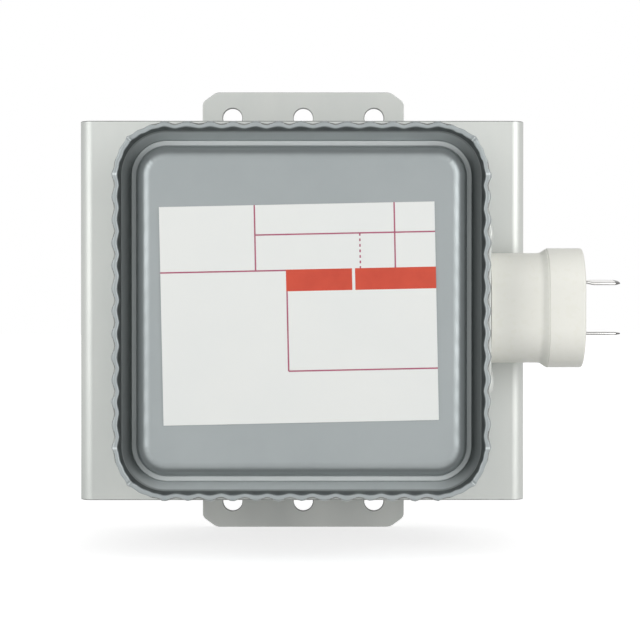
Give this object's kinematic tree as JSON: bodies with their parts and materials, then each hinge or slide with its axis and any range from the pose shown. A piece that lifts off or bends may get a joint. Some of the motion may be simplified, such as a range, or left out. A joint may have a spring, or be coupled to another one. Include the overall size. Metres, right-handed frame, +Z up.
{
  "type": "magnetron",
  "caption": "Microwave oven magnetron: U-shaped yoke with cooling fins, crimped filter box with supply blades, drilled mounting plate and antenna.",
  "frame": {"origin": "on the antenna's axis, in the face of the mounting plate that is fastened to a waveguide", "axes": "+Y along the antenna, out of the mounting plate; +X the way the supply blades point; +Z up as in the picture, across the mounting plate's two ears. The filter box's lid faces -Y."},
  "size_m": [0.1134, 0.1191, 0.1046],
  "materials": {
    "zinc_steel": "satin zinc-plated sheet steel",
    "pressed_steel": "semi-gloss bluish grey pressed sheet steel",
    "sticker": "matt white sticker with thin ruled lines and two red bars",
    "wire_mesh": "knitted fine wire",
    "ferrite": "matt dark grey sintered ferrite",
    "fin_aluminium": "bright rolled sheet",
    "copper": "bare copper",
    "alumina": "unglazed pinkish white alumina",
    "tungsten": "dull dark grey refractory metal",
    "seal_metal": "plain drawn metal",
    "white_plastic": "off-white moulded plastic, slightly glossy",
    "tinned_metal": "tinned, slightly glossy"
  },
  "bodies": {
    "root": {"mounting_plate": "zinc_steel", "yoke_frame": "zinc_steel", "filter_box": "pressed_steel", "filter_box_lid": "pressed_steel", "rating_label": "sticker", "rf_gasket": "wire_mesh", "magnet_antenna_side": "ferrite", "magnet_filter_side": "ferrite", "cooling_fin_1": "fin_aluminium", "cooling_fin_2": "fin_aluminium", "cooling_fin_3": "fin_aluminium", "cooling_fin_4": "fin_aluminium", "cooling_fin_5": "fin_aluminium", "anode_cylinder": "copper", "anode_vane_01": "copper", "anode_vane_02": "copper", "anode_vane_03": "copper", "anode_vane_04": "copper", "anode_vane_05": "copper", "anode_vane_06": "copper", "anode_vane_07": "copper", "anode_vane_08": "copper", "anode_vane_09": "copper", "anode_vane_10": "copper", "inner_strap_antenna_side": "copper", "outer_strap_antenna_side": "copper", "inner_strap_filter_side": "copper", "outer_strap_filter_side": "copper", "antenna_pole_piece": "pressed_steel", "cathode_pole_piece": "pressed_steel", "antenna_seal_cup": "seal_metal", "cathode_seal_cup": "seal_metal", "antenna_ceramic": "alumina", "exhaust_tube": "copper", "antenna_cap": "seal_metal", "antenna_rod": "copper", "stem_ceramic": "alumina", "filament": "tungsten", "upper_end_hat": "tungsten", "lower_end_hat": "tungsten", "centre_lead": "tungsten", "side_lead": "tungsten", "stem_terminal_upper": "tinned_metal", "stem_terminal_lower": "tinned_metal", "choke_coil_upper": "copper", "choke_coil_lower": "copper", "choke_core_upper": "ferrite", "choke_core_lower": "ferrite", "capacitor_flange": "pressed_steel", "capacitor_case": "white_plastic", "capacitor_ceramic": "alumina", "capacitor_inner_case": "white_plastic", "terminal_blade_upper": "tinned_metal", "terminal_blade_lower": "tinned_metal", "capacitor_rivet_1": "seal_metal", "capacitor_rivet_2": "seal_metal", "box_rivet_1": "seal_metal", "box_rivet_2": "seal_metal", "box_rivet_3": "seal_metal", "box_rivet_4": "seal_metal"}
  },
  "joints": []
}
